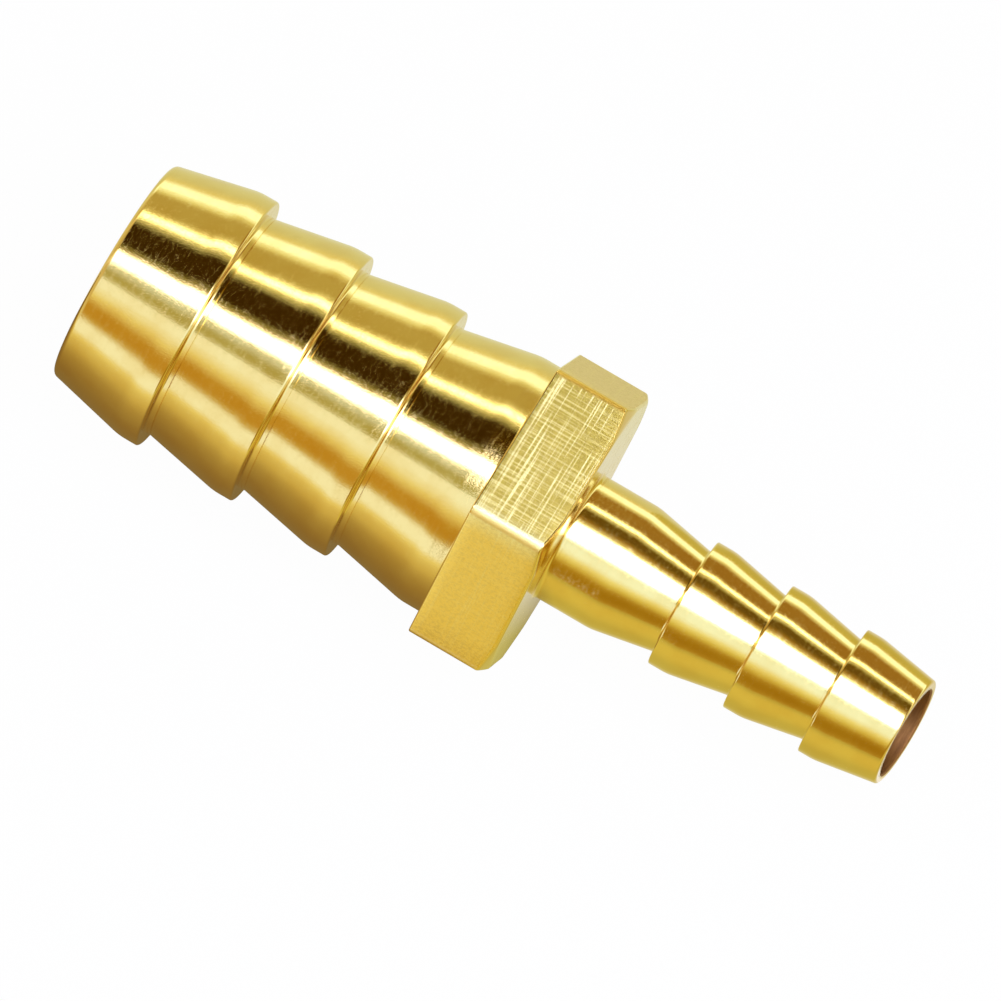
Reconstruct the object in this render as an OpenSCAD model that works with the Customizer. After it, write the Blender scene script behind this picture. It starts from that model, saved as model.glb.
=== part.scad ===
// Hose barb reducer, turned in one piece from hexagon brass bar.
// A large hose pushes onto one tail and a small hose onto the other, up to the hexagon.
// The bore axis is X. The origin is the centre of the large tail's end face.
// The hexagon has one flat facing up and one facing down, as the part lies on a bench.

/* [Large hose tail] */
// Diameter over the lands of the large barbs
large_land_d = 13; // [12.4:0.1:13.8]
// Diameter at the foot of each large step
large_root_d = 11.53; // [10.8:0.01:12]
// Diameter at the free end of the large tail
large_tip_d = 11.15; // [10.6:0.01:12]
// Number of large barbs
large_barbs = 4; // [2:1:6]
// Distance from one large step to the next
large_pitch = 5.06; // [4.4:0.01:7]
// Length of the last large barb, up to the hexagon
large_last_l = 5.21; // [4.4:0.01:8]
// Width of the land on each large barb, with its rounded edge
large_land_w = 1; // [0.6:0.05:1.6]
// Width of the land that runs into the hexagon
large_last_land_w = 1.25; // [0.6:0.05:2]
// Width of the turned relief at the foot of each large step
large_relief_w = 0.28; // [0.16:0.02:0.5]
// Radius on the edge of each large step
large_step_r = 0.12; // [0.05:0.01:0.35]
// Radius where a large flank meets its land
large_blend_r = 3; // [0.5:0.5:3]
// Radius on the rim of the large end
large_rim_r = 0.3; // [0.1:0.05:0.4]
// Radius in the corner between the large tail and the hexagon
large_shoulder_r = 0.08; // [0.05:0.01:0.3]

/* [Hexagon] */
// Size across the flats, for the spanner
hex_af = 14; // [14:0.1:17]
// Width of the hexagon along the bore
hex_w = 4; // [3:0.05:8]
// Diameter at which the chamfer of the corners starts, on the small tail's side
hex_face_d = 14.4; // [12:0.1:15.6]
// Angle of the chamfer, from the face
hex_chamfer_angle = 20; // [10:1:35]

/* [Small hose tail] */
// Diameter over the lands of the small barbs, and of the neck
small_land_d = 6.45; // [6.2:0.05:7]
// Diameter at the foot of each small step
small_root_d = 5.35; // [5.2:0.01:5.8]
// Diameter at the free end of the small tail
small_tip_d = 5.35; // [5.3:0.05:5.8]
// Number of small barbs, the neck's included
small_barbs = 4; // [2:1:6]
// Distance from one small step to the next
small_pitch = 4; // [3.4:0.05:6]
// Length of the small barb at the free end
small_tip_l = 4.2; // [3.4:0.05:6]
// Length of the neck, from the last small step to the hexagon
small_last_l = 6.1; // [5.2:0.05:10]
// Width of the land on each small barb
small_land_w = 1; // [0.6:0.05:1.5]
// Width of the land on the barb at the free end
small_tip_land_w = 0.85; // [0.5:0.05:1.3]
// Length of the plain neck next to the hexagon
small_neck_l = 3; // [2:0.1:3.6]
// Width of the turned relief at the foot of each small step
small_relief_w = 0.14; // [0.12:0.02:0.4]
// Radius on the edge of each small step
small_step_r = 0.08; // [0.04:0.01:0.2]
// Radius where a small flank meets its land
small_blend_r = 3; // [0.5:0.5:3]
// Radius on the rim of the small end
small_rim_r = 0.14; // [0.06:0.01:0.16]
// Radius in the corner between the neck and the hexagon
small_shoulder_r = 0.2; // [0.05:0.01:0.4]

/* [Bore] */
// Diameter of the bore on the large side
large_bore_d = 9; // [7:0.1:9.4]
// How far the full large bore runs on under the hexagon
large_bore_past = 1; // [0.5:0.1:1.4]
// Angle of the drill point at the bottom of the large bore
drill_point_angle = 118; // [90:1:140]
// Diameter of the bore that runs on through the small tail
small_bore_d = 4.5; // [3:0.1:4.5]
// Width of the broken edge at the large mouth
large_mouth_edge = 0.25; // [0.1:0.05:0.4]
// Width of the broken edge at the small mouth
small_mouth_edge = 0.08; // [0.04:0.01:0.1]

/* [Hidden] */
$fn = 96;
// Radius in the inside corner at the foot of a step
foot_r = 0.1;
// Straight pieces in each turned corner radius
arc_steps = 5;
// How far a cutting tool starts outside the metal
run_out = 1;
brass = [0.80, 0.63, 0.27];

large_tail_l = (large_barbs - 1) * large_pitch + large_last_l;
small_tail_l = small_tip_l + (small_barbs - 2) * small_pitch + small_last_l;
small_face_z = large_tail_l + hex_w;
overall_l = small_face_z + small_tail_l;
large_bore_depth = large_tail_l + large_bore_past;
drill_point_l = (large_bore_d - small_bore_d) / 2 / tan(drill_point_angle / 2);

// Points on an arc, as [radius, height]
function arc_points(centre, radius, from, to) = [
    for (i = [0 : arc_steps])
        let (angle = from + (to - from) * i / arc_steps)
        centre + radius * [cos(angle), sin(angle)]
];

// Angle of a flank that climbs from one radius to another
function flank_angle(from_r, to_r, length) = atan((to_r - from_r) / length);

// Rounded rim of a free end at height 0, tangent to the end face and to the first flank
function rim(tip_r, angle, rim_r) =
    arc_points([tip_r + rim_r * (tan(angle) - 1 / cos(angle)), rim_r], rim_r, -90, -angle);

// Soft corner where a flank meets its land at height z
function blend(land_r, z, angle, blend_r) =
    arc_points([land_r - blend_r, z + blend_r * tan(angle / 2)], blend_r, -angle, 0);

// Step behind a land: its rounded edge, its face at height z, and the relief at its foot
function step(land_r, root_r, z, step_r, relief_w) = concat(
    arc_points([land_r - step_r, z - step_r], step_r, 0, 90),
    arc_points([root_r + foot_r, z + foot_r], foot_r, 270, 180),
    [[root_r, z + relief_w]]
);

// Barb whose foot is at height z: its flank and land, without the step behind it
function barb(root_r, land_r, z, flank_l, relief_w, blend_r) =
    blend(land_r, z + flank_l, flank_angle(root_r, land_r, flank_l - relief_w), blend_r);

// Tail turned round Z, hanging from its shoulder at height 0. Its outline is drawn from the free end,
// and the bar inside the hexagon belongs to the tail as far as the hexagon's middle.
module tail(tip_r, root_r, land_r, barbs, tip_l, pitch, tail_l, tip_land_w, land_w, last_land_w,
            relief_w, step_r, blend_r, rim_r, shoulder_r) {
    tip_flank_l = tip_l - tip_land_w;
    last_z = tip_l + (barbs - 2) * pitch;
    middle = [
        for (z = [tip_l : pitch : last_z - pitch / 2])
            each concat(
                barb(root_r, land_r, z, pitch - land_w, relief_w, blend_r),
                step(land_r, root_r, z + pitch, step_r, relief_w))
    ];
    from_free_end = concat(
        [[0, 0]],
        rim(tip_r, flank_angle(tip_r, land_r, tip_flank_l), rim_r),
        barb(tip_r, land_r, 0, tip_flank_l, 0, blend_r),
        step(land_r, root_r, tip_l, step_r, relief_w),
        middle,
        barb(root_r, land_r, last_z, tail_l - last_z - last_land_w, relief_w, blend_r),
        arc_points([land_r + shoulder_r, tail_l - shoulder_r], shoulder_r, 180, 90));
    rotate_extrude()
        polygon(concat(
            [for (point = from_free_end) point - [0, tail_l]],
            [[land_r, 0], [land_r, hex_w / 2], [0, hex_w / 2]]));
}

module large_tail() {
    translate([0, 0, large_tail_l])
        tail(tip_r = large_tip_d / 2, root_r = large_root_d / 2, land_r = large_land_d / 2,
            barbs = large_barbs, tip_l = large_pitch, pitch = large_pitch, tail_l = large_tail_l,
            tip_land_w = large_land_w, land_w = large_land_w, last_land_w = large_last_land_w,
            relief_w = large_relief_w, step_r = large_step_r, blend_r = large_blend_r,
            rim_r = large_rim_r, shoulder_r = large_shoulder_r);
}

module small_tail() {
    translate([0, 0, small_face_z])
        mirror([0, 0, 1])
            tail(tip_r = small_tip_d / 2, root_r = small_root_d / 2, land_r = small_land_d / 2,
                barbs = small_barbs, tip_l = small_tip_l, pitch = small_pitch, tail_l = small_tail_l,
                tip_land_w = small_tip_land_w, land_w = small_land_w, last_land_w = small_neck_l,
                relief_w = small_relief_w, step_r = small_step_r, blend_r = small_blend_r,
                rim_r = small_rim_r, shoulder_r = small_shoulder_r);
}

// Bar of hexagon section, faced to its width and with the corners turned back on the small tail's side
module hexagon() {
    corner_r = hex_af / sqrt(3);
    turned_r = corner_r + run_out;
    turned_z = hex_w - (turned_r - hex_face_d / 2) * tan(hex_chamfer_angle);
    translate([0, 0, large_tail_l])
        intersection() {
            rotate([0, 0, 30])
                cylinder(r = corner_r, h = hex_w + run_out, $fn = 6);
            rotate_extrude()
                polygon([[0, 0], [turned_r, 0], [turned_r, turned_z], [hex_face_d / 2, hex_w], [0, hex_w]]);
        }
}

// Everything the drills and the deburring tools take away, along the bore axis
module bore() {
    large_r = large_bore_d / 2;
    small_r = small_bore_d / 2;
    rotate_extrude()
        polygon([
            [0, -run_out],
            [large_r + large_mouth_edge + run_out, -run_out],
            [large_r, large_mouth_edge],
            [large_r, large_bore_depth],
            [small_r, large_bore_depth + drill_point_l],
            [small_r, overall_l - small_mouth_edge],
            [small_r + small_mouth_edge + run_out, overall_l + run_out],
            [0, overall_l + run_out]
        ]);
}

module reducer() {
    color(brass)
        rotate([0, 90, 0])
            difference() {
                union() {
                    large_tail();
                    hexagon();
                    small_tail();
                }
                bore();
            }
}

reducer();
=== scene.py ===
import math

import bpy
from mathutils import Matrix, Vector


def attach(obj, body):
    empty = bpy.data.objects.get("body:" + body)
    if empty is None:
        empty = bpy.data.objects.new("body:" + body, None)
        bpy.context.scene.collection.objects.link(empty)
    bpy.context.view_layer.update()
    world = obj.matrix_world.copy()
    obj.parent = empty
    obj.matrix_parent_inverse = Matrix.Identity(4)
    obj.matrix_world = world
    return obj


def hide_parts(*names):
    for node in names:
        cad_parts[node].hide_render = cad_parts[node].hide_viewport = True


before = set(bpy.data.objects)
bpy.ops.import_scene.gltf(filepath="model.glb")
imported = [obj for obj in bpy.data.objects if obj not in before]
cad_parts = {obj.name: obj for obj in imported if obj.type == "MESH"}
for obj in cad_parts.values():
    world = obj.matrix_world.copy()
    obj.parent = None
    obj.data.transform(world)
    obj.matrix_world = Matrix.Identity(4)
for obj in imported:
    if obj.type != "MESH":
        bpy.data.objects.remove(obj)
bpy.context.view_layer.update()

# The hexagon bar. The whole fitting is cut from one length of drawn brass bar of hexagon section, 14 mm
# across the flats. Its drawn corners are slightly round, and one of the two beside the upper flat is
# worn rounder than the rest.
MM = 0.001
across_flats = 14.0
drawn_corner_r, worn_corner_r = 0.3, 0.6
corner_rounds = [drawn_corner_r] * 5 + [worn_corner_r]
corner_pieces, flat_pieces = 6, 26
beside_corner = 0.12


def half_corner(corner_round):
    """From a corner's middle to the flat after it: angle past the corner, and the bar's reach there."""
    centre = (across_flats / 2 - corner_round) / math.cos(math.radians(30))
    half = []
    for i in range(corner_pieces + 1):
        turn = math.radians(30 * i / corner_pieces)
        along, aside = centre + corner_round * math.cos(turn), corner_round * math.sin(turn)
        half.append((math.degrees(math.atan2(aside, along)), math.hypot(along, aside)))
    return half


def bar_section():
    """Angle round the bore from straight up, and the bar's reach there, for each meridian of the mesh.
    The meridians lie close together at the corners, and next to them on the flats."""
    section = []
    for k in range(6):
        before, after = half_corner(corner_rounds[k]), half_corner(corner_rounds[(k + 1) % 6])
        first, last = before[-1][0] + beside_corner, 60 - after[-1][0] - beside_corner
        flat = [first + (last - first) * i / flat_pieces for i in range(flat_pieces + 1)]
        sextant = before + [(angle, across_flats / 2 / math.cos(math.radians(angle - 30))) for angle in flat]
        sextant += [(60 - angle, reach) for angle, reach in reversed(after[1:])]
        section += [(30 + 60 * k + angle, reach) for angle, reach in sextant]
    return section


meridians = bar_section()


class Wire:
    """A socket in a material's nodes. Sums, differences and products of wires add Math nodes."""

    def __init__(self, tree, socket=None):
        self.tree, self.socket = tree, socket

    def node(self, kind, settings=None, inputs=None, output=0):
        """A new node beside this one: its settings are set first, then its inputs get values or wires."""
        made = self.tree.nodes.new("ShaderNode" + kind)
        for name, value in (settings or {}).items():
            setattr(made, name, value)
        for name, value in (inputs or {}).items():
            if isinstance(value, Wire):
                value.into(made, name)
            else:
                made.inputs[name].default_value = value
        return None if output is None else Wire(self.tree, made.outputs[output])

    def into(self, node, name):
        self.tree.links.new(self.socket, node.inputs[name])

    def twin(self, output):
        """Another output of the same node."""
        return Wire(self.tree, self.socket.node.outputs[output])

    def math(self, operation, *values, clamp=False):
        return self.node("Math", {"operation": operation, "use_clamp": clamp}, dict(enumerate(values)))

    def __add__(self, other):
        return self.math("ADD", self, other)

    def __radd__(self, other):
        return self.math("ADD", other, self)

    def __sub__(self, other):
        return self.math("SUBTRACT", self, other)

    def __rsub__(self, other):
        return self.math("SUBTRACT", other, self)

    def __mul__(self, other):
        return self.math("MULTIPLY", self, other)

    def __rmul__(self, other):
        return self.math("MULTIPLY", other, self)

    def clamped(self):
        return self.math("ADD", self, 0, clamp=True)

    def rise(self, low, high):
        """0 below low, 1 above high, smooth between."""
        return self.node("MapRange", {"interpolation_type": "SMOOTHSTEP"},
                         {"Value": self, "From Min": low, "From Max": high})

    def noise(self, scale, detail, roughness, stretch=(1, 1, 1)):
        """Noise over a place, in lumps of 1/scale. A stretch below 1 draws the lumps out that way."""
        drawn = self.node("VectorMath", {"operation": "MULTIPLY"}, {0: self, 1: stretch})
        return self.node("TexNoise", {}, {"Vector": drawn, "Scale": scale, "Detail": detail,
                                          "Roughness": roughness})

    def mix(self, low, high):
        """From the low colour to the high one, with this wire as the share of the high one."""
        low, high = [(*colour, 1) if isinstance(colour, tuple) else colour for colour in (low, high)]
        return self.node("Mix", {"data_type": "RGBA"}, {0: self, 6: low, 7: high}, output=2)

    def bump(self, depth):
        """The normal of a surface with this wire as its height, in units of the depth."""
        return self.node("Bump", {}, {"Strength": 1.0, "Distance": depth, "Height": self})


def metal(name, colour, roughness):
    """A metal material, its shader, and a wire of the place on the fitting in mm."""
    made = bpy.data.materials.new(name)
    made.use_nodes = True
    shader = made.node_tree.nodes["Principled BSDF"]
    shader.inputs["Metallic"].default_value = 1
    shader.inputs["Base Color"].default_value = (*colour, 1)
    shader.inputs["Roughness"].default_value = roughness
    place = Wire(made.node_tree).node("TexCoord", output="Object")
    return made, shader, place.node("VectorMath", {"operation": "MULTIPLY"}, {0: place, 1: (1 / MM,) * 3})


# The drawn flats are satin and golden, lined along the bar by the die, and the upper flat has scratches
# across it from handling. The pale of the scratches is partly their own and partly a painted glint, and
# is strongest on the upper flat. The flats carry painted light and shade by the way each faces: the upper
# flat is a darker, yellower tone, the flats behind are a duller one with more dark specks, and the front
# foot of the bar is browner. The corners are painted pale in front and brown behind, and the strip along
# the rounder corner beside the upper flat is a painted highlight.
drawn_brass, shaded_upper_brass, shaded_back_brass = (1.0, 0.73, 0.16), (0.79, 0.64, 0.145), (0.80, 0.58, 0.23)
scratch_glint_brass, lit_corner_brass = (0.99, 0.93, 0.46), (0.88, 0.66, 0.24)
shaded_brass, speck_brass = (0.74, 0.49, 0.10), (0.66, 0.46, 0.11)
drawn_flats, shader, place = metal("drawn_flats", drawn_brass, 0.34)
# Places in mm from the bore's axis, where the upper flat ends at 4.04 on each side and a corner is at 8.08
axes = place.node("SeparateXYZ", {}, {0: place})
y, z = axes.twin("Y"), axes.twin("Z")
on_corners = axes.math("SQRT", y * y + z * z).rise(7.93, 8.0)
level = 1 - axes.math("ABSOLUTE", y).rise(3.9, 4.15)
behind = y.rise(3, 5)
corner_highlight = y.rise(-4.7, -4.1) * (1 - y.rise(-3.9, -3.3))
foot = 1 - y.rise(-8.2, -7.0)
cross_bands = place.noise(1, 1, 0.5, (1.6, 0.15, 0.15)).rise(0.40, 0.60)
cross_lines = place.noise(1, 1, 0.6, (9.0, 0.20, 0.20)).rise(0.50, 0.66)
die_lines = place.noise(1, 2, 0.6, (0.22, 9.0, 9.0)).rise(0.46, 0.64)
grain = place.noise(8, 3, 0.8, (0.7, 1, 1))
# Scratches across the flats and die lines along them, strongest on the upper flat: partly real marks and
# partly a painted glint.
scratch_marks_and_glint = cross_lines * (0.6 + cross_bands * 0.7) + die_lines * 0.45
scratch_marks_and_glint = scratch_marks_and_glint * (0.12 + level * 0.88) * (1 - on_corners)
# Painted light and shade by the way each flat faces: the upper flat a darker, yellower tone, the flats
# behind a duller one.
body = level.mix(behind.mix(drawn_brass, shaded_back_brass), shaded_upper_brass)
# Pale scratches and specks, and a pale strip along the rounder corner beside the upper flat as a painted
# highlight.
body = (scratch_marks_and_glint + grain.rise(0.5, 0.8) * 0.15 + corner_highlight * 0.6).clamped().mix(body, scratch_glint_brass)
# Dark specks, with more of them on the flats behind as painted shade.
body = (grain.rise(0.42, 0.66) * (0.3 + behind * 0.5)).mix(body, speck_brass)
# Browner towards the front foot of the bar, mottled: painted shade.
body = (foot * (0.25 + grain.rise(0.4, 0.6) * 0.5)).mix(body, shaded_brass)
# Corners painted pale in front and brown behind: a painted highlight and painted shade.
corners = y.rise(-1, 1).mix(lit_corner_brass, shaded_brass)
on_corners.mix(body, corners).into(shader, "Base Color")
(0.30 + scratch_marks_and_glint * 0.2 + grain * 0.08).into(shader, "Roughness")
(grain * 2.5 + scratch_marks_and_glint * 0.6).bump(0.000005).into(shader, "Normal")

# The large hose tail. Four barbs are turned on one end of the bar, each with a rising flank, a land and
# a step that bites into the hose. The steps face the hexagon, and the tool leaves a relief at each foot.
large_land_r, large_root_r, large_tip_r = 6.5, 5.765, 5.575
large_pitch, large_barbs = 5.06, 4
large_last_l = 5.21
large_tail_l = (large_barbs - 1) * large_pitch + large_last_l
large_shoulder_r = 0.08
foot_r = 0.1
rim_pieces, blend_pieces, step_pieces, foot_pieces, shoulder_pieces = 8, 4, 7, 5, 5
hold = 0.02


def arc(centre, radius, start, end, pieces):
    """Corner points as (radius, place along the bore), round a centre."""
    turns = [math.radians(start + (end - start) * i / pieces) for i in range(pieces + 1)]
    return [(centre[0] + radius * math.cos(t), centre[1] + radius * math.sin(t)) for t in turns]


def held(points):
    """The outline with a point close to each end of its long straight runs, which keeps them straight."""
    out = [points[0]]
    for (r0, x0), (r1, x1) in zip(points, points[1:]):
        run = math.hypot(r1 - r0, x1 - x0)
        if run > 6 * hold:
            for share in (hold / run, 1 - hold / run):
                out.append((r0 + (r1 - r0) * share, x0 + (x1 - x0) * share))
        out.append((r1, x1))
    return out


def tail_outline(tip_r, root_r, land_r, barbs, tip_l, pitch, tail_l, tip_land, land, last_land,
                 relief, step_r, blend_r, rim_r, shoulder_r):
    """Outline of a barbed tail as (radius, place along the bore), from its free end at 0 to its shoulder."""
    def flank_angle(from_r, length):
        return math.degrees(math.atan((land_r - from_r) / length))

    def barb(x, from_r, length, relief_w):
        angle = flank_angle(from_r, length - relief_w)
        centre = (land_r - blend_r, x + length + blend_r * math.tan(math.radians(angle / 2)))
        return arc(centre, blend_r, -angle, 0, blend_pieces)

    def step(x):
        edge = arc((land_r - step_r, x - step_r), step_r, 0, 90, step_pieces)
        inside_corner = arc((root_r + foot_r, x + foot_r), foot_r, 270, 180, foot_pieces)
        return edge + inside_corner + [(root_r, x + relief)]

    angle = math.radians(flank_angle(tip_r, tip_l - tip_land))
    rim = (tip_r + rim_r * (math.tan(angle) - 1 / math.cos(angle)), rim_r)
    points = arc(rim, rim_r, -90, -math.degrees(angle), rim_pieces)
    points += barb(0, tip_r, tip_l - tip_land, 0) + step(tip_l)
    for i in range(barbs - 2):
        points += barb(tip_l + i * pitch, root_r, pitch - land, relief) + step(tip_l + (i + 1) * pitch)
    last = tip_l + (barbs - 2) * pitch
    points += barb(last, root_r, tail_l - last - last_land, relief)
    return points + arc((land_r + shoulder_r, tail_l - shoulder_r), shoulder_r, 180, 90, shoulder_pieces)


large_tail = held(tail_outline(
    tip_r=large_tip_r, root_r=large_root_r, land_r=large_land_r, barbs=large_barbs, tip_l=large_pitch,
    pitch=large_pitch, tail_l=large_tail_l, tip_land=1.0, land=1.0, last_land=1.25, relief=0.28,
    step_r=0.12, blend_r=3.0, rim_r=0.3, shoulder_r=large_shoulder_r))

# Turned brass is bright, with the tool's fine rings round the axis, a slow change from pale to deep
# gold, and a fine grain that is drawn out along the bore. The grain is shallower past the hexagon, which
# ends 24.4 mm from the large mouth.
bright_brass, deep_brass = (0.86, 0.66, 0.25), (0.80, 0.56, 0.17)
turned, shader, place = metal("turned_brass", bright_brass, 0.12)
past_hexagon = place.node("SeparateXYZ", {}, {0: place}).rise(24.2, 24.6)
tool_rings = place.noise(1, 3, 0.7, (7, 1.8, 1.8))
grain = place.noise(17, 2, 0.6, (0.45, 1, 1))
waves = place.noise(1.6, 2, 0.5)
cloud = place.noise(0.6, 2, 0.5)
(cloud.rise(0.35, 0.7) * 0.5).mix(bright_brass, deep_brass).into(shader, "Base Color")
(0.05 + tool_rings.rise(0.45, 0.64) * 0.09 + grain.rise(0.5, 0.7) * 0.10).into(shader, "Roughness")
height = (tool_rings * 0.15 + grain * 0.6) * (1 - past_hexagon * 0.4) + waves * 0.3
height.bump(0.0000035).into(shader, "Normal")

# The hexagon. The lathe faces the bar square on the large tail's side. On the small tail's side it turns
# the corners back to a round face, and the edge between the chamfer and the flats is left soft. The
# drawn finish runs over each flat, from its square edge onto the first pieces of its soft edge.
hex_w = 4.0
chamfer_r, chamfer_angle, least_chamfer = 7.2, 20.0, 0.15
chamfer_shares = (0.66, 0.33, 0.04)
square_edge, soft_edge = 0.08, 0.20
face_rings, edge_pieces, flat_rings, soft_pieces, drawn_soft_pieces = 2, 4, 7, 6, 2
small_face_x = large_tail_l + hex_w


def hexagon_outline(reach):
    """Outline over the hexagon where the bar reaches this far: large face, flat, soft edge, chamfer."""
    face_r = min(chamfer_r, reach - least_chamfer)
    turned_x = small_face_x - (reach - face_r) * math.tan(math.radians(chamfer_angle))
    inner = large_land_r + large_shoulder_r
    points = [(inner + (reach - square_edge - inner) * i / (face_rings + 1), large_tail_l)
              for i in range(1, face_rings + 1)]
    points += arc((reach - square_edge, large_tail_l + square_edge), square_edge, -90, 0, edge_pieces)
    start = large_tail_l + square_edge
    end = turned_x - soft_edge * math.tan(math.radians(90 - chamfer_angle) / 2)
    points += [(reach, start + (end - start) * i / (flat_rings + 1)) for i in range(1, flat_rings + 1)]
    points += arc((reach - soft_edge, end), soft_edge, 0, 90 - chamfer_angle, soft_pieces)
    soft_r, soft_x = points[-1]
    return points + [(face_r + (soft_r - face_r) * share, small_face_x + (soft_x - small_face_x) * share)
                     for share in chamfer_shares]


first_drawn_ring = face_rings + edge_pieces
last_drawn_ring = first_drawn_ring + flat_rings + drawn_soft_pieces

# The small hose tail. A plain neck leaves the hexagon, then smaller barbs with sharp steps run to the
# mouth. It is turned from the same bar, and its steps face the hexagon too.
small_land_r, small_root_r, small_tip_r = 3.225, 2.675, 2.675
small_pitch, small_barbs = 4.0, 4
small_tip_l, small_tip_land, small_last_l = 4.2, 0.85, 6.1
small_tail_l = small_tip_l + (small_barbs - 2) * small_pitch + small_last_l
small_shoulder_r = 0.2
overall_l = small_face_x + small_tail_l
from_mouth = held(tail_outline(
    tip_r=small_tip_r, root_r=small_root_r, land_r=small_land_r, barbs=small_barbs, tip_l=small_tip_l,
    pitch=small_pitch, tail_l=small_tail_l, tip_land=small_tip_land, land=1.0, last_land=3.0,
    relief=0.14, step_r=0.08, blend_r=3.0, rim_r=0.14, shoulder_r=small_shoulder_r))
small_tail = [(r, overall_l - x) for r, x in reversed(from_mouth)]
round_face_r = 6.8
face_shares = (0, 0.3, 0.6, 0.9, 0.99)
neck_foot_r = small_land_r + small_shoulder_r
small_face = [(round_face_r + (neck_foot_r - round_face_r) * share, small_face_x)
              for share in face_shares]

# The bore. A 9 mm drill goes in from the large end and leaves its point's cone under the hexagon. A
# 4.5 mm drill runs on through the small tail. Both mouths have their edge broken by hand.
large_bore_r, small_bore_r = 4.5, 2.25
large_mouth_edge, small_mouth_edge = 0.25, 0.08
large_bore_past, drill_point_angle = 1.0, 118
large_bore_l = large_tail_l + large_bore_past
drill_point_l = (large_bore_r - small_bore_r) / math.tan(math.radians(drill_point_angle / 2))
bore = held([
    (small_bore_r + small_mouth_edge, overall_l),
    (small_bore_r, overall_l - small_mouth_edge),
    (small_bore_r, large_bore_l + drill_point_l),
    (large_bore_r, large_bore_l),
    (large_bore_r, large_mouth_edge),
    (large_bore_r + large_mouth_edge, 0)])

# The bore's dark brown is partly the finish the drill leaves and partly painted shade inside the bore; the
# spiral is duller drill marks.
bore_shade_brass, bore_dull_shade_brass = (0.38, 0.19, 0.06), (0.27, 0.13, 0.045)
bore_metal_in_shade, shader, place = metal("bore_shade_brass", bore_shade_brass, 0.5)
spiral = place.noise(1, 3, 0.7, (6, 0.8, 0.8))
spiral.rise(0.3, 0.7).mix(bore_shade_brass, bore_dull_shade_brass).into(shader, "Base Color")
(0.5 + spiral * 0.2).into(shader, "Roughness")
spiral.bump(0.000008).into(shader, "Normal")

# The whole fitting. It is one piece of metal, so it is one closed mesh: rings of points from the large
# mouth over the outside to the small mouth, and back through the bore. It was parted off the bar a
# little out of square at the small mouth, and the tail is shortest on the side towards the bench.
parting_slant, short_side = 6.0, -21.5
slanted_l = 0.2
tip_slope = (small_land_r - small_tip_r) / (small_tip_l - small_tip_land)


def parted(r, x, angle):
    """Where a point comes to lie once the small mouth is cut on the slant. A point of the outside slides
    back along the last flank, and one of the bore stays on the bore."""
    if x < overall_l - slanted_l:
        return r, x
    back = small_tip_r + r * math.cos(math.radians(angle - short_side))
    back *= math.tan(math.radians(parting_slant))
    outside = r > small_bore_r + small_mouth_edge
    return r + back * tip_slope if outside else r, x - back


TURNED, FLATS, BORE_IN_SHADE = 0, 1, 2
around = len(meridians)
rings = [([point] * around, TURNED) for point in large_tail]
over_hexagon = [hexagon_outline(reach) for _, reach in meridians]
for i in range(len(over_hexagon[0])):
    finish = FLATS if first_drawn_ring <= i <= last_drawn_ring else TURNED
    rings.append(([outline[i] for outline in over_hexagon], finish))
rings += [([point] * around, TURNED) for point in small_face + small_tail]
rings += [([point] * around, TURNED if point[1] <= large_mouth_edge else BORE_IN_SHADE) for point in bore]

points, faces, finishes = [], [], []
for i, (ring, finish) in enumerate(rings):
    for (r, x), (angle, _) in zip(ring, meridians):
        r, x = parted(r, x, angle)
        turn = math.radians(angle)
        points.append((x * MM, r * MM * math.sin(turn), r * MM * math.cos(turn)))
    here, after = i * around, (i + 1) % len(rings) * around
    for j in range(around):
        k = (j + 1) % around
        faces.append((here + j, after + j, after + k, here + k))
        finishes.append(finish)

mesh = bpy.data.meshes.new("reducer_brass")
mesh.from_pydata(points, [], faces)
for material in (turned, drawn_flats, bore_metal_in_shade):
    mesh.materials.append(material)
mesh.polygons.foreach_set("material_index", finishes)
mesh.polygons.foreach_set("use_smooth", [True] * len(faces))
mesh.update()
reducer = bpy.data.objects.new("reducer_brass", mesh)
bpy.context.scene.collection.objects.link(reducer)
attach(reducer, "root")
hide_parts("reducer")

# The floor. The fitting lies on one flat of its hexagon on a sheet of plain pale paper. The paper is
# white to the camera and in the metal, and keeps a faint shadow of the fitting.
floor_z = -across_flats / 2 * MM
floor_half = 1.5
paper_colour = (0.60, 0.60, 0.59, 1)
whiteness = 0.98


def white_share(here):
    """1 for what is seen straight, in the metal or through glass, and 0 for the light in the room."""
    path = here.node("LightPath", output="Is Camera Ray")
    return (path + path.twin("Is Glossy Ray") + path.twin("Is Transmission Ray")).clamped()


floor_mesh = bpy.data.meshes.new("floor")
floor_mesh.from_pydata([(x * floor_half, y * floor_half, floor_z)
                        for x, y in ((-1, -1), (1, -1), (1, 1), (-1, 1))], [], [(0, 1, 2, 3)])
floor = bpy.data.objects.new("floor", floor_mesh)
bpy.context.scene.collection.objects.link(floor)
paper = bpy.data.materials.new("white_paper")
paper.use_nodes = True
floor_mesh.materials.append(paper)
tree = paper.node_tree
shader = tree.nodes["Principled BSDF"]
shader.inputs["Base Color"].default_value = paper_colour
shader.inputs["Roughness"].default_value = 0.9
shader.inputs["Specular IOR Level"].default_value = 0
matt = Wire(tree, shader.outputs[0])
white = matt.node("Emission", {}, {"Color": (1, 1, 1, 1), "Strength": 1.0})
seen = matt.node("MixShader", {}, {0: white_share(matt) * whiteness, 1: matt, 2: white})
seen.into(tree.nodes["Material Output"], "Surface")

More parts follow.
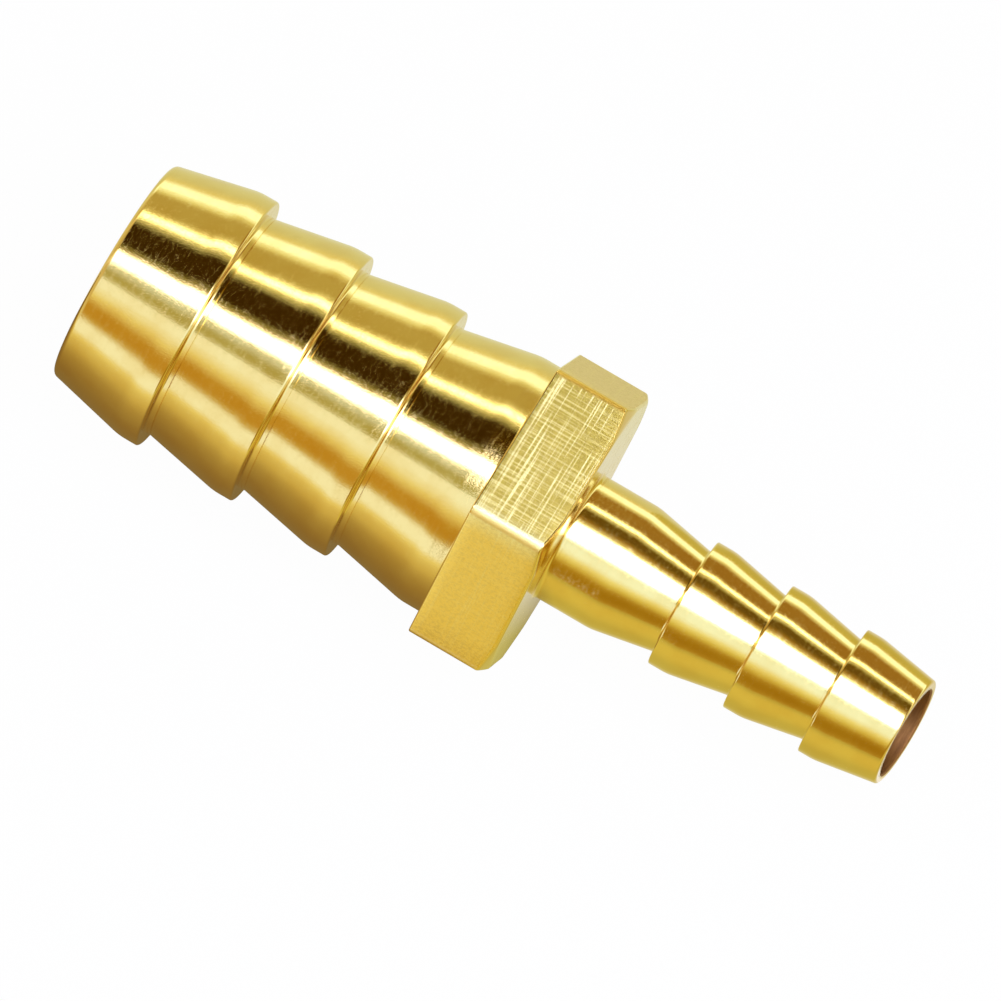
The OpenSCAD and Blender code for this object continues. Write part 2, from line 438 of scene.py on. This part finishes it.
# The white surround beyond the floor. It is white wherever it is seen, and gives the room the plain
# light of a pale wall.
room_light = 0.4
world = bpy.data.worlds.new("white_surround")
bpy.context.scene.world = world
world.use_nodes = True
background = world.node_tree.nodes["Background"]
background.inputs["Color"].default_value = (1, 1, 1, 1)
(white_share(Wire(world.node_tree)) * (1 - room_light) + room_light).into(background, "Strength")

# The tent. It is sewn of thin cloth, stands over the fitting and is gathered in at both ends. Soft boxes
# light it from behind, and cards hang in it, and these are the bands that the bright metal shows. The
# lights are graded apart for the two tails, with a join over the hexagon.
tent_r, tent_half_l = 0.16, 0.9
tent_join, half_join = 0.0124, 0.001
large_change, small_change = (-0.13, -0.10), (0.12, 0.16)
large_end_share, small_end_share = 0.9, 0.15
gathered = 0.05
# Soft boxes, a strip light and the cloth near the floor behind
SOFTBOX, STRIP, HORIZON, SKY = (4.5, 4.6, 6.5), (3.6, 3.6, 3.3), (1.4, 1.7, 1.8), (1.1, 1.35, 1.8)
# Pale cloth and pale cards
CREAM, PALE, BUTTER = (1.08, 1.20, 1.45), (1.0, 1.0, 0.60), (0.95, 0.88, 0.46)
BLUISH, IVORY, LEMON = (0.74, 0.85, 1.0), (0.80, 0.77, 0.60), (0.76, 0.78, 0.48)
# Yellow and grey cards
STRAW, GOLD, OLIVE = (0.70, 0.57, 0.22), (0.78, 0.68, 0.20), (0.63, 0.57, 0.17)
TAN, GREY, BRONZE = (0.56, 0.46, 0.17), (0.52, 0.50, 0.24), (0.48, 0.36, 0.13)
# Brown and dark cards
WARM, OCHRE, UMBER, AMBER = (0.60, 0.36, 0.06), (0.50, 0.33, 0.05), (0.42, 0.25, 0.02), (0.38, 0.22, 0.05)
CHESTNUT, SHADE = (0.30, 0.20, 0.07), (0.20, 0.14, 0.05)
BROWN, DARK = (0.16, 0.10, 0.015), (0.045, 0.022, 0.002)
# Cloth at the gathered ends
LARGE_END, SMALL_END = (0.75, 0.62, 0.32), (0.50, 0.36, 0.14)


def between(light, other, share):
    """The light with a share of it gone over to the other."""
    return [a + (b - a) * share for a, b in zip(light, other)]


def light_at(knots, place):
    """The light at a place between knots of (place, light)."""
    for (low, light), (high, other) in zip(knots, knots[1:]):
        if place <= high:
            return between(light, other, min(1, max(0, (place - low) / (high - low))))
    return knots[-1][1]


def lit_cloth(name, rows, lights_room):
    """Cloth through rows of (y, z, join, light beside the large tail, light beside the small one). It is
    seen in the metal and not by the camera. The two lights of a row run into each other at its join, and
    go over to an end light towards the gathered ends."""
    corners, lights = [], []
    for y, z, join, large_light, small_light in rows:
        large_end = between(large_light, LARGE_END, large_end_share)
        small_end = between(small_light, SMALL_END, small_end_share)
        corners.append((-tent_half_l, y * gathered, z * gathered))
        corners += [(x, y, z) for x in (*large_change, join - half_join, join + half_join, *small_change)]
        corners.append((tent_half_l, y * gathered, z * gathered))
        lights += [large_end, large_end, large_light, large_light,
                   small_light, small_light, small_end, small_end]
    wide = len(corners) // len(rows)
    quads = [(wide * i + j, wide * i + j + 1, wide * (i + 1) + j + 1, wide * (i + 1) + j)
             for i in range(len(rows) - 1) for j in range(wide - 1)]
    made = bpy.data.meshes.new(name)
    made.from_pydata(corners, [], quads)
    glow = made.color_attributes.new("light", "FLOAT_COLOR", "POINT")
    for i, light in enumerate(lights):
        glow.data[i].color = (*light, 1)
    cloth = bpy.data.materials.new(name)
    cloth.use_nodes = True
    cloth.cycles.emission_sampling = "NONE"
    cloth.node_tree.nodes.clear()
    light = Wire(cloth.node_tree).node("Attribute", {"attribute_name": "light"}, output="Color")
    lamp = light.node("Emission", {}, {"Color": light})
    lamp.node("OutputMaterial", {}, {"Surface": lamp}, output=None)
    made.materials.append(cloth)
    hung = bpy.data.objects.new(name, made)
    bpy.context.scene.collection.objects.link(hung)
    hung.visible_camera = False
    hung.visible_shadow = False
    hung.visible_diffuse = lights_room


large_side = [
    (-3, CREAM), (7, CREAM), (11, STRAW), (16, WARM), (26, WARM), (36, BUTTER), (46, CREAM), (56, CREAM),
    (58, GREY), (64, GREY), (69, BLUISH), (73, BLUISH), (75.5, SOFTBOX), (86, SOFTBOX), (88.5, GREY),
    (96, DARK), (119, DARK), (128, PALE), (130, STRIP), (134.5, STRIP), (136, PALE), (142, TAN),
    (162, TAN), (168, PALE), (174, HORIZON), (183, HORIZON)]
small_side = [
    (-3, OCHRE), (6, UMBER), (14, UMBER), (21, OCHRE), (29, GOLD), (37, PALE), (46, SKY), (62, SKY),
    (67.5, SOFTBOX), (93, SOFTBOX), (97, PALE), (104, AMBER), (110, BROWN), (120, BROWN), (127.5, PALE),
    (130, STRIP), (132, STRIP), (134, PALE), (138, AMBER), (162, AMBER), (169, PALE), (174, HORIZON),
    (183, HORIZON)]
front_foot, back_foot, row_step = large_side[0][0], large_side[-1][0], 1.5
tent_rows = []
for i in range(round((back_foot - front_foot) / row_step) + 1):
    angle = front_foot + row_step * i
    turn = math.radians(angle)
    tent_rows.append((-tent_r * math.cos(turn), tent_r * math.sin(turn), tent_join,
                      light_at(large_side, angle), light_at(small_side, angle)))
lit_cloth("tent", tent_rows, True)

# The two cards. They are glowing sheets that lie on the floor in front of the fitting and behind it, are
# seen only in the metal, and are graded outward. They are a painted reflection of the floor: the front card
# is dark close to the fitting beside the large tail, as painted shadow of the fitting, and paler outward,
# and the back card is the lit floor behind. Their joins slant, because the metal is seen a little from
# the small end.
card_thickness = 0.0002
outward = [0.5, 4.5, 7, 9, 12, 17, 21, 25, 30, 40, 50, 60, 75, 90, 120, 158]


def card(name, side, join, slant, large_knots, small_knots):
    """A card on the floor, in rows outward in mm, on the front side (-1) or the back side (1)."""
    rows = [(side * y * MM, floor_z + card_thickness, join - slant * y * MM, light_at(large_knots, y),
             light_at(small_knots, y)) for y in outward]
    lit_cloth(name, rows, False)


# Painted shadow: the front card is dark close to the fitting beside the large tail and paler outward.
front_large = [(0.5, SHADE), (9, CHESTNUT), (17, BRONZE), (25, STRAW), (50, BUTTER), (90, CREAM)]
front_small = [(0.5, IVORY), (4.5, OLIVE), (8, OLIVE), (14, GOLD), (30, GOLD), (60, OLIVE), (158, OCHRE)]
back_large = [(0.5, IVORY), (6, IVORY), (15, LEMON), (30, LEMON), (67, BUTTER), (120, HORIZON)]
back_small = [(0.5, IVORY), (10, IVORY), (15, OLIVE), (30, OLIVE), (67, GOLD), (120, HORIZON)]
card("front_floor_shadow_card", -1, 0.0245, 0.085, front_large, front_small)
card("back_floor_reflection_card", 1, 0.031, 0.09, back_large, back_small)

# The camera. It looks down at the fitting from 68.5 degrees up, a little from the small end, through a
# long lens, and is rolled so that the fitting runs down to the right.
look_up = math.radians(68.5)
end_on = math.radians(3.81)
roll = math.radians(30.337)
distance = 0.6
frame_width = 0.04617
sensor_width = 36
aim_x, aim_across, aim_along = 0.02082, -0.0002, 0.000023
toward = Vector((math.sin(end_on), -math.cos(end_on) * math.cos(look_up),
                 math.cos(end_on) * math.sin(look_up)))
along = (Vector((1, 0, 0)) - toward * toward.x).normalized()
across = toward.cross(along)
right = along * math.cos(roll) + across * math.sin(roll)
up = toward.cross(right)
aim = Vector((aim_x, 0, 0)) + across * aim_across + along * aim_along
lens = bpy.data.cameras.new("camera")
lens.sensor_width = sensor_width
lens.lens = sensor_width * distance / frame_width
lens.clip_start, lens.clip_end = 0.1, 10
eye = bpy.data.objects.new("camera", lens)
bpy.context.scene.collection.objects.link(eye)
eye.location = aim + toward * distance
eye.rotation_euler = Matrix([right, up, toward]).transposed().to_euler()
bpy.context.scene.camera = eye

bpy.context.scene.view_settings.view_transform = "Standard"
